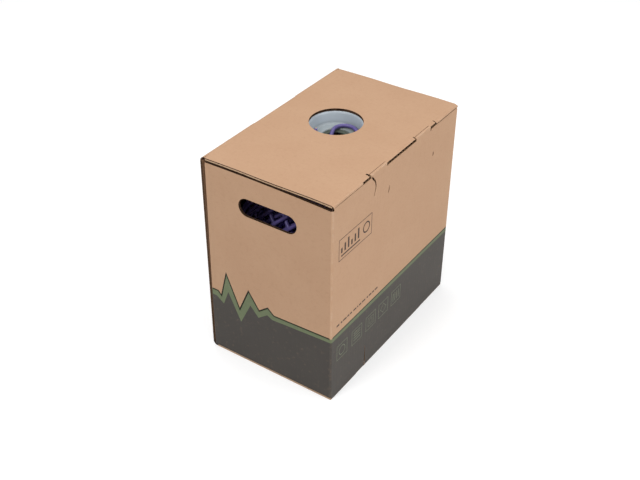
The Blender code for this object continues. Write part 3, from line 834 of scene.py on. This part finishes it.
def left_place(u, v, w):
    """The left wall, with v running down its outer face from the lid to the bottom."""
    radius = FOLD_RADIUS - w
    if v < LEFT_QUARTER:
        angle = v / FOLD_RADIUS
        x, z = -SIDE + FOLD_RADIUS - radius * sin(angle), HEIGHT - FOLD_RADIUS + radius * cos(angle)
    elif v < LEFT_LOW_FOLD:
        x, z = -SIDE + w, HEIGHT - FOLD_RADIUS - (v - LEFT_QUARTER)
    else:
        angle = (v - LEFT_LOW_FOLD) / FOLD_RADIUS
        x, z = -SIDE + FOLD_RADIUS - radius * cos(angle), FOLD_RADIUS - radius * sin(angle)
    dent = DENT_DEPTH * smooth_share((u - DENT_START) / DENT_RUN) * smooth_share((DENT_END - u) / DENT_RUN)
    return x + dent * smooth_share(1 - abs(z - HEIGHT + FOLD_RADIUS) / DENT_REACH), u, z


def left_path(z):
    return LEFT_QUARTER + HEIGHT - FOLD_RADIUS - z


def skew_at(z):
    return SKEW * min(max((PANEL_TOP - z) / (PANEL_TOP - SKEW_LOW_Z), 0.0), 1.0)


def end_place(side):
    def place(u, v, w):
        share = (FOLD_RIGHT - u) / (FOLD_RIGHT - FOLD_LEFT)
        lift = max((v - LEAN_Z) / (PANEL_TOP - LEAN_Z), 0.0)
        lean = LEAN * lift * lift * max(sin(pi * min(max(share, 0.0), 1.0)), 0.0)
        return u - skew_at(v) * share, side * (END - w - lean), v
    return place


def flap_place(side):
    """The tuck flap, with u as its distance from the middle of the box."""
    return lambda u, v, w: (PANEL_LEFT + w - skew_at(v), side * u, v)


def right_fold_place(side):
    """The fold from the right wall to an end panel, with u as the length along its arc."""
    def place(u, v, w):
        angle, radius = u / CORNER_RADIUS, CORNER_RADIUS - w
        return FOLD_RIGHT + radius * cos(angle), side * (END - CORNER_RADIUS + radius * sin(angle)), v
    return place


def left_fold_place(side):
    """The fold from an end panel to its tuck flap."""
    def place(u, v, w):
        angle, radius = u / FLAP_RADIUS, FLAP_RADIUS - w
        return (FOLD_LEFT - skew_at(v) - radius * sin(angle),
                side * (END - FLAP_RADIUS + radius * cos(angle)), v)
    return place


# ======================================== board panels
def band_tint(low, high, measure=lambda u, v: v):
    """Looks of a printed face: dark below low, green up to high, and bare board above."""
    def tint(u, v):
        z = measure(u, v)
        return DARK if z < low else GREEN if z < high else FACE
    return tint


def build_lid(looks):
    roll = LID_EDGE + LID_RADIUS * pi / 2 + LID_EDGE_DROP
    us = joined(lines(LID_LEFT, CREASE_X, MEDIUM), lines(CREASE_X, LID_EDGE, FINE),
                lines(LID_EDGE, roll, FINEST))
    vs = lines(-BAND_END, BAND_END, MEDIUM, -0.166, -0.161, 0.161, 0.166)
    outlines = [circle(PAYOUT.x, PAYOUT.y, PAYOUT_RADIUS, 96)]
    outlines += [rectangle(NOTCH_X, low - TAB_SLACK, OUTSIDE, high + TAB_SLACK) for low, high in TAB_RANGES]
    outlines += [rectangle(u, low, OUTSIDE, high) for u, low, high in LID_CUTS]
    outlines += [rectangle(LID_EDGE + LID_SLIT, low, OUTSIDE, high) for low, high in SLIT_RANGES]
    add_board("lid_board", "carton", looks["board_left"], "top_panel", us, vs, lid_place, outlines,
              along="u", inside=(lines(LID_LEFT, LID_EDGE - 0.0005, MEDIUM), vs))


def build_right_wall(looks):
    tab_end = TAB_FOLD + TAB_RADIUS * pi / 2 + SIDE - TAB_RADIUS - TAB_END_X
    us = lines(-WALL_REACH, WALL_REACH, COARSE)
    vs = joined(lines(GAP, TAB_FOLD, COARSE, *BAND_RIGHT), lines(TAB_FOLD, tab_end, FINEST))
    inside = lines(-END + BOARD + GAP, END - BOARD - GAP, COARSE), [WALL_BOTTOM + GAP, WALL_TOP]
    bounds = [-FAR, *TAB_RANGES[0], *TAB_RANGES[1], FAR]
    steps = [(low, high, WALL_TOP) for low, high in zip(bounds[::2], bounds[1::2])]
    outlines = [rectangle(low, top, high, BEYOND) for low, high, top in (*steps, *WALL_STEPS)]
    for low, high in TAB_RANGES:
        below, above = tab_end - 0.002, tab_end + 0.001
        outlines += [[(low - 0.001, below), (low + 0.002, above), (low - 0.001, BEYOND)],
                     [(high + 0.001, below), (high + 0.001, BEYOND), (high - 0.002, above)]]
    outlines += CHIPS
    outlines += [rectangle(low, -0.01, high, top) for low, high, top in FOOT_STEPS]
    scores = [sliver(points, widths) for points, widths in SCORES]
    add_board("right_wall_board", "carton", looks["board_y"], "right_wall", us, vs, right_place, outlines,
              scores, inside=inside, tint=band_tint(*BAND_RIGHT))

    def core_place(across, up, deep):
        shoulder = TAB_RADIUS * max(up - 0.5, 0) * 2
        outer = SIDE - LINER - GAP
        return (outer - deep * (outer - TAB_END_X) - shoulder * (1 - deep), across,
                WALL_TOP + up * (HEIGHT - 0.0007 - WALL_TOP))

    for index, (low, high) in enumerate(TAB_RANGES):
        name = f"lock_tab_core_{index + 1}"
        core = bend_mesh(plate([low + RECESS, high - RECESS], lines(0, 1, 0.25), 0, 1), core_place, name)
        add_piece(name, core, "carton", [looks["fluting"]])


def build_left_wall(looks):
    us = joined(lines(-BAND_END, DENT_START, COARSE), lines(DENT_START, DENT_START + DENT_RUN, FINE),
                lines(DENT_START + DENT_RUN, DENT_END - DENT_RUN, MEDIUM),
                lines(DENT_END - DENT_RUN, DENT_END, FINE), lines(DENT_END, BAND_END, COARSE))
    low, high = left_path(BAND_LEFT[0]), left_path(BAND_LEFT[1])
    dented = LEFT_QUARTER + 0.016
    vs = joined(lines(0, LEFT_QUARTER, 0.0010), lines(LEFT_QUARTER, dented, 0.004),
                lines(dented, LEFT_LOW_FOLD, COARSE, high, low),
                lines(LEFT_LOW_FOLD, LEFT_LOW_FOLD + LEFT_QUARTER, 0.0010))
    wave = us, [v for v in vs if LEFT_QUARTER + 0.003 < v < LEFT_LOW_FOLD - 0.001]
    add_board("left_wall_board", "carton", looks["board_left"], "left_wall", us, vs, left_place, wave=wave,
              tint=band_tint(-low, -high, lambda u, v: -v))


def add_fold(name, radius, step, low, high, band, place, looks, first, second):
    """The outer liner where it goes round a fold between two bodies."""
    bm = plate(lines(0, radius * pi / 2, step), lines(low, high, MEDIUM, *band), INK, INK + LINER)
    tint = band_tint(*band)
    for face in bm.faces:
        face.material_index = tint(*face.calc_center_median().xy)
    mesh = bend_mesh(bm, place, name)
    rest = mesh.attributes.new("rest", "FLOAT_VECTOR", "POINT")
    rest.data.foreach_set("vector", [c for vert in mesh.vertices for c in vert.co])
    obj = add_piece(name, mesh, None, looks["board_rest"])
    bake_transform(obj)


def build_end(side, label, looks):
    """An end panel with its print, its folds and its tuck flap; side is -1 at the front and 1 at the back."""
    panel, flap, place = f"{label}_end", f"{label}_flap", end_place(side)
    tops, lows, base = (STRIPE_TOP, STRIPE_LOW, FRONT_BASE_HIGH) if side < 0 else ((), (), BASE_HIGH)
    us = lines(FOLD_LEFT, FOLD_RIGHT, PANEL_STEP)
    vs = joined(lines(PANEL_BOTTOM, LEAN_Z, 0.06, base), lines(LEAN_Z, PANEL_TOP, 0.003))
    slot = stadium(HANDHOLD_X, HANDHOLD_Z, HANDHOLD_LENGTH, HANDHOLD_HEIGHT)
    wedge = [(FOLD_LEFT - 0.001, PANEL_TOP + 0.0001), (FOLD_RIGHT + 0.001, PANEL_TOP - TOP_WEDGE),
             (FOLD_RIGHT + 0.001, BEYOND), (FOLD_LEFT - 0.001, BEYOND)]
    inside = lines(PANEL_LEFT + BOARD + GAP, SIDE - BOARD - GAP, PANEL_STEP), vs
    add_board(f"{label}_panel_board", panel, looks["board_x"], f"{label}_end_panel", us, vs, place,
              [slot, wedge], inside=inside, tint=band_tint(base, base))

    top = [(FOLD_LEFT, BAND_LEFT[1]), *tops, (FOLD_RIGHT, BAND_RIGHT[1])]
    low = [(FOLD_LEFT, BAND_LEFT[0]), *lows, (FOLD_RIGHT, BAND_RIGHT[0])]
    dark = [(FOLD_LEFT, base), (FOLD_RIGHT, base), *low[::-1]]
    add_film(f"{label}_print_dark", panel, looks["ink_dark"], place, [dark])
    add_film(f"{label}_print_green", panel, looks["ink_green"], place, [low + top[::-1]])
    add_film(f"{label}_print_line", panel, looks["ink_line"], place, strokes=[(top, LINE_WIDTH)])

    add_fold(f"{label}_fold_right", CORNER_RADIUS, FINE, PANEL_BOTTOM - 0.0004,
             PANEL_TOP - TOP_WEDGE + 0.0008, BAND_RIGHT, right_fold_place(side), looks, "carton", panel)
    add_fold(f"{label}_fold_left", FLAP_RADIUS, FINEST, PANEL_BOTTOM, PANEL_TOP - 0.0004, BAND_LEFT,
             left_fold_place(side), looks, panel, flap)

    us = lines(FLAP_INNER_Y, END - FLAP_RADIUS, PANEL_STEP)
    vs = lines(PANEL_BOTTOM + GAP, PANEL_TOP - GAP, 0.06, *BAND_LEFT)
    corner = [(FLAP_CUT_Y, -0.01), (FLAP_INNER_Y + FLAP_CHAMFER, -0.0001),
              (FLAP_INNER_Y - 0.0001, FLAP_CHAMFER), (FLAP_CUT_Y, FLAP_CHAMFER)]
    chamfers = [[(u, vs[0] + v) for u, v in corner], [(u, vs[-1] - v) for u, v in corner[::-1]]]
    add_board(f"{label}_flap_board", flap, looks["board_y"], f"{label}_tuck_flap", us, vs, flap_place(side),
              chamfers, inside=(lines(FLAP_INNER_Y, END - BOARD - GAP, PANEL_STEP), vs),
              tint=band_tint(*BAND_LEFT))


def lip_mesh(name, place, along, start, stop, edge, low, high, seed):
    """The frayed paper at a raw edge; edge is where it ends, and low and high are depths in the board."""
    draw = random.Random(seed)
    inward = -1 if edge > 0 else 1
    deep = edge + inward * 0.0014
    rows = []
    for run in spread(start, stop, round((stop - start) / 0.002)):
        out = edge + inward * 0.0003 * draw.random()
        ring = [(out, low + 0.0004 * draw.random()), (out, high - 0.0005 * draw.random()),
                (deep, high), (deep, low)]
        rows.append([(run, across, w) if along == "u" else (across, run, w) for across, w in ring])
    bm = bmesh.new()
    capped(bm, rows)
    return bend_mesh(bm, place, name)


def build_lips(looks):
    for index, where in enumerate(("front", "back")):
        edge = BAND_END if index else -BAND_END
        # The left wall's lips take the dark cut-edge look, a painted shade at its raw edges.
        for name, place, along, start, stop, low, high, look in (
                ("lid", lid_place, "u", -0.104, LID_EDGE - 0.001, 0.0021, BOARD - 0.0001, "lip"),
                ("bottom", bottom_place, "u", -0.104, SIDE - 0.002, 0.0006, 0.0024, "lip"),
                ("left", left_place, "v", LEFT_QUARTER + 0.004, LEFT_LOW_FOLD - 0.002, 0.0003, 0.0024,
                 "shaded_cut_edge")):
            name = f"{name}_lip_{where}"
            mesh = lip_mesh(name, place, along, start, stop, edge, low, high, 11 + index)
            add_piece(name, mesh, "carton", [looks[look]])


def build_boards_inside(looks):
    """The bottom, the glue flap, the boards that carry the axle, and the funnel's backing plate."""
    notches = [rectangle(NOTCH_X, low + FOOT_NOTCH_START, OUTSIDE, high + TAB_SLACK)
               for low, high in TAB_RANGES]
    us, vs = lines(LID_LEFT, SIDE - 0.0007, COARSE), lines(-BAND_END, BAND_END, COARSE)
    add_board("bottom_board", "carton", looks["board_y"], "bottom_panel", us, vs, bottom_place, notches,
              along="u")
    low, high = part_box("glue_flap")
    add_board("glue_flap_board", "carton", looks["board_inner"], "glue_flap", lines(low.x, high.x, COARSE),
              lines(low.y, high.y, COARSE), lambda u, v, w: (u, v, low.z + w), along="u")
    for label, side in (("right", 1), ("left", -1)):
        node = f"inner_board_{label}"
        low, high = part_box(node)
        middle = centre_of(node)
        add_board(f"{node}_board", "carton", looks["board_inner"], node, lines(low.y, high.y, COARSE),
                  lines(low.z, high.z, COARSE), lambda u, v, w: (middle.x - side * (BOARD / 2 - w), u, v),
                  [circle(0, AXLE_HEIGHT, BUSH_HOLE, 48)])
    low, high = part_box("funnel_backing_plate")
    hole = circle(PAYOUT.x, PAYOUT.y, BACKING_HOLE, 64)
    add_board("funnel_backing_board", "carton", looks["board_inner"], "funnel_backing_plate",
              [low.x, high.x], [low.y, high.y], lambda u, v, w: (u, v, high.z - w), [hole], along="u")


# ======================================== printed lines and marks
def build_marks(looks):
    """Thin lines above the stripe on the walls, and plain geometric marks on the right wall."""
    low = BAND_RIGHT[1] - LINE_OVERLAP
    line = rectangle(-WALL_REACH, low, WALL_REACH, low + LINE_WIDTH)
    add_film("right_wall_line", "carton", looks["ink_line"], right_place, [line])
    middle, reach = left_path(BAND_LEFT[1]), BAND_END - 0.0008
    line = rectangle(-reach, middle - LINE_WIDTH / 2, reach, middle + LINE_WIDTH / 2)
    add_film("left_wall_line", "carton", looks["ink_line"], left_place, [line])

    # a frame with six bars, a line and a ring in it, and a row of dashes
    outlines = [rectangle(-0.1525 + 0.0085 * i, 0.262, -0.1488 + 0.0085 * i, 0.266 + 0.0045 * (1 + i % 3))
                for i in range(6)]
    outlines.append(rectangle(-0.152, 0.2560, -0.104, 0.2583))
    rings = [(rectangle(-0.158, 0.2505, -0.073, 0.2865), 0.0015),
             (circle(-0.0875, 0.2695, 0.0092, 32), 0.0022)]
    start = DASH_START
    for index, length in enumerate(DASHES):
        outlines.append(rectangle(start, DASH_LOW, start + length / 1000, DASH_HIGH))
        start += length / 1000 + (0.0022 if index % 4 else 0.0040)
    add_film("right_wall_marks", "carton", looks["ink_mark"], right_place, outlines, rings)

    # tiles with a circle, level bars, two squares, a diamond and upright bars
    middle = (TILE_LOW + TILE_HIGH) / 2
    rings = [(rectangle(u - TILE_HALF, TILE_LOW, u + TILE_HALF, TILE_HIGH), 0.0010) for u in TILE_CENTRES]
    first, second, third, fourth, fifth = TILE_CENTRES
    rings.append((circle(first, middle, 0.0085, 32), 0.0009))
    rings += [(rectangle(third - r, middle - r, third + r, middle + r), 0.0008) for r in (0.0040, 0.0080)]
    rings.append(([(fourth, middle - 0.0095), (fourth + 0.0085, middle), (fourth, middle + 0.0095),
                   (fourth - 0.0085, middle)], 0.0009))
    outlines = [rectangle(second - 0.009, middle + d, second + 0.009, middle + d + 0.0011)
                for d in (-0.0075, -0.0025, 0.0025, 0.0070)]
    outlines += [rectangle(fifth + d - 0.0006, middle - 0.008, fifth + d + 0.0006, middle + 0.008)
                 for d in (-0.0080, -0.0027, 0.0027, 0.0080)]
    add_film("right_wall_tiles", "carton", looks["ink_pale"], right_place, outlines, rings)


# ======================================== funnel and winding
def funnel_profile():
    """Inner side from the rim to the throat, and back up the outer side."""
    bead = []
    for t in spread(0, 1, 8):
        outward = 0.0014 * (1 - t) ** 2 - 2 * 0.0011 * t * (1 - t) - 0.0018 * t * t
        bead.append((PAYOUT_RADIUS + outward, RIM_Z - 0.0050 * t * t - 0.0004 * t * (1 - t)))
    foot = PAYOUT_RADIUS - FUNNEL_DRAFT
    fillet = arc(foot - FUNNEL_FILLET, FUNNEL_FLOOR_Z + FUNNEL_FILLET, FUNNEL_FILLET, 0, -pi / 2, 10)
    lip = arc(THROAT_RADIUS + THROAT_LIP, FUNNEL_FLOOR_Z - THROAT_LIP, THROAT_LIP, pi / 2, pi, 10)
    inner = bead + fillet + lip
    outer = [(radius + FUNNEL_WALL, z - FUNNEL_WALL) for radius, z in inner[1:]]
    half = FUNNEL_WALL / 2
    rim = arc(FUNNEL_RIM_RADIUS - half, RIM_Z - half, half, pi / 2, -pi / 2, 6)
    return (inner[::-1] + rim + [(PAYOUT_RADIUS + 2 * FUNNEL_WALL, RIM_Z - FUNNEL_WALL)] + outer
            + [(THROAT_RADIUS + FUNNEL_WALL, FUNNEL_LOW_Z), (THROAT_RADIUS, FUNNEL_LOW_Z)])


def build_funnel(looks):
    mesh = turned_mesh("funnel_bell", funnel_profile(), PAYOUT, 128)
    add_piece("funnel_bell", mesh, "carton", [looks["funnel"]], ["payout_funnel"], 40)
    outer, r = THROAT_RADIUS - GAP, GROMMET_ROUND
    low, high = FUNNEL_LOW_Z, FUNNEL_LOW_Z + GROMMET_HEIGHT
    profile = ([(outer, high), (outer, low)] + arc(GROMMET_HOLE + r, low + r, r, -pi / 2, -pi, 6)
               + arc(GROMMET_HOLE + r, high - r, r, pi, pi / 2, 6)
               + [(GROMMET_HOLE + out, high + up) for out, up in GROMMET_GROOVE])
    mesh = turned_mesh("throat_ring", profile, PAYOUT, 96)
    add_piece("throat_ring", mesh, "carton", [looks["rubber"]], ["throat_grommet"], 40)


def cable_curve(name, points, radius, resolution=3):
    curve = bpy.data.curves.new(name, "CURVE")
    curve.dimensions = "3D"
    curve.bevel_depth = radius
    curve.bevel_resolution = resolution
    curve.use_fill_caps = True
    spline = curve.splines.new("POLY")
    spline.points.add(len(points) - 1)
    for point, place in zip(spline.points, points):
        point.co = (*place, 1)
    spline.use_smooth = True
    return curve


def build_winding(looks):
    """Cable laid in crossing swings between the flanges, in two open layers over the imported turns."""
    draw = random.Random(7)
    for layer, (radius, reach, phase) in enumerate(STRAND_LAYERS):
        points = []
        swing_drift, lift_drift = draw.uniform(0, 6), draw.uniform(0, 6)
        for i in range(STRAND_TURNS * STRAND_STEPS + 1):
            turn = 2 * pi * i / STRAND_STEPS
            swing = WINDING_CROSSINGS * turn + phase + 0.07 * sin(0.61 * turn + swing_drift)
            r = radius - STRAND_LIFT * tanh(3.5 * cos(swing))
            x = (reach + 0.0018 * sin(0.37 * turn + lift_drift)) * sin(swing)
            points.append((x, r * cos(turn), AXLE_HEIGHT + r * sin(turn)))
        curve = cable_curve(f"winding_layer_{layer + 1}", points, CABLE_RADIUS)
        add_piece(curve.name, curve, "spool", [looks["winding"]], () if layer else ["cable_winding"])

    profile = [(CORE_RADIUS - RIDGE_DEPTH * (1 - abs(sin(pi * i / RIDGE_STEPS))), x)
               for i, x in enumerate(spread(-CORE_REACH, CORE_REACH, CORE_RIDGES * RIDGE_STEPS))]
    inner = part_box("spool_barrel")[1].z - AXLE_HEIGHT + GAP
    profile += [(inner, CORE_REACH), (inner, -CORE_REACH)]
    rows = []
    for angle in spread(0, 2 * pi, 96)[:-1]:
        row = []
        for r, x in profile:
            swirl = r + (0.0016 * sin(7 * angle + x * 90) if inner < r else 0.0)
            row.append((x, swirl * cos(angle), AXLE_HEIGHT + swirl * sin(angle)))
        rows.append(row)
    bm = bmesh.new()
    tube(bm, rows, True)
    add_piece("winding_core", mesh_from(bm), "spool", [looks["winding"]], (), 60)


# ======================================== free end of the cable
def running_lengths(points):
    """The length along a line of points, up to each of them."""
    lengths = [0.0]
    for first, second in zip(points, points[1:]):
        lengths.append(lengths[-1] + (second - first).length)
    return lengths


def resample(dense, step):
    """Points at an even step along a finely sampled line, with its two ends kept."""
    lengths = running_lengths(dense)
    points = []
    place = 0
    for target in spread(0, lengths[-1], round(lengths[-1] / step)):
        while place < len(lengths) - 2 and lengths[place + 1] < target:
            place += 1
        share = (target - lengths[place]) / (lengths[place + 1] - lengths[place])
        points.append(dense[place].lerp(dense[place + 1], share))
    return points


def sweep(centre, radius, start, end):
    return [centre + radius * Vector((cos(angle), sin(angle)))
            for angle in spread(start, end, TAIL_FINE_STEPS)[1:]]


def tail_plan():
    """A straight run, a bend that meets the loop, and the loop against the funnel's wall."""
    corner = Vector(TAIL_BEND)
    heading = Vector((cos(TAIL_HEADING), sin(TAIL_HEADING)))
    inward = Vector((heading.y, -heading.x))
    bend = (TAIL_LOOP ** 2 - corner.length_squared) / (2 * (corner.dot(inward) + TAIL_LOOP))
    centre = corner + bend * inward
    meeting = atan2(centre.y, centre.x)
    plan = [corner - heading * TAIL_RUN * (1 - share) for share in spread(0, 1, TAIL_FINE_STEPS)]
    plan += sweep(centre, bend, TAIL_HEADING + pi / 2, meeting)
    plan += sweep(Vector((0, 0)), TAIL_LOOP, meeting, TAIL_END)
    return plan


def tail_route():
    """The cable lies on the winding, rises through the throat and loops round the funnel's floor."""
    plan = tail_plan()
    lay_radius = WINDING_RADIUS + CABLE_RADIUS + GAP
    loop_z = FUNNEL_FLOOR_Z + CABLE_RADIUS + GAP
    heights = [AXLE_HEIGHT + sqrt(lay_radius ** 2 - (PAYOUT.y + place.y) ** 2) for place in plan]
    runs = running_lengths(plan)
    lift = max(index for index, run in enumerate(runs) if run <= TAIL_LIFT)
    lift_z = heights[lift]
    start_slope = (lift_z - heights[lift - 1]) / (runs[lift] - runs[lift - 1]) * TAIL_RISE
    route = []
    for place, run, height in zip(plan, runs, heights):
        share = min((run - runs[lift]) / TAIL_RISE, 1.0)
        if share > 0:
            height = (lift_z + start_slope * (share ** 3 - 2 * share ** 2 + share)
                      + (loop_z - lift_z) * (3 * share ** 2 - 2 * share ** 3))
        route.append(Vector((PAYOUT.x + place.x, PAYOUT.y + place.y, height)))
    return resample(route, TAIL_POINT_STEP)


def build_tail(looks):
    route = tail_route()
    curve = cable_curve("cable_tail_jacket", route, CABLE_RADIUS, 6)
    tail = add_piece("cable_tail_jacket", curve, "carton", [looks["jacket"]], ["cable_tail"])
    along = (route[-1] - route[-2]).normalized()
    side = along.cross(Vector((0, 0, 1)))

    def aside(angle):
        return side * cos(angle) + Vector((0, 0, sin(angle)))

    for pair in range(4):
        middle = aside(pi / 4 + pair * pi / 2) * PAIR_OFFSET
        for wire in range(2):
            reach = WIRE_LENGTH + 0.0008 * ((pair + wire) % 3)
            points = [route[-1] + middle * (1 + 0.22 * share)
                      + aside(wire * pi + share * 2.6 + pair) * WIRE_RADIUS * 1.02
                      + along * (share * reach - 0.0006) for share in spread(0, 1, WIRE_STEPS)]
            name = f"cable_wire_{pair + 1}{'ab'[wire]}"
            look = looks["wires"][pair] if wire else looks["wire_white"]
            curve = cable_curve(name, points, WIRE_RADIUS, 2)
            add_piece(name, curve, "carton", [look], ())
    length = running_lengths(route)[-1]


def dress_nodes(looks):
    """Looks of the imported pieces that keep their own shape."""
    for words, look in ((("spool_flange",), "hardboard"), (("spool_barrel",), "tube"),
                        (("hub_plate",), "hub"), (("axle_tube", "axle_bush"), "axle"),
                        (("tie_rod", "tie_nut"), "steel")):
        for name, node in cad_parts.items():
            if name.startswith(words):
                node.data.materials.clear()
                node.data.materials.append(looks[look])


build_camera()
LOOKS = make_looks()
build_tail(LOOKS)
build_stage()
build_lid(LOOKS)
build_right_wall(LOOKS)
build_left_wall(LOOKS)
build_end(-1, "front", LOOKS)
build_end(1, "back", LOOKS)
build_boards_inside(LOOKS)
build_lips(LOOKS)
build_marks(LOOKS)
build_funnel(LOOKS)
build_winding(LOOKS)
dress_nodes(LOOKS)
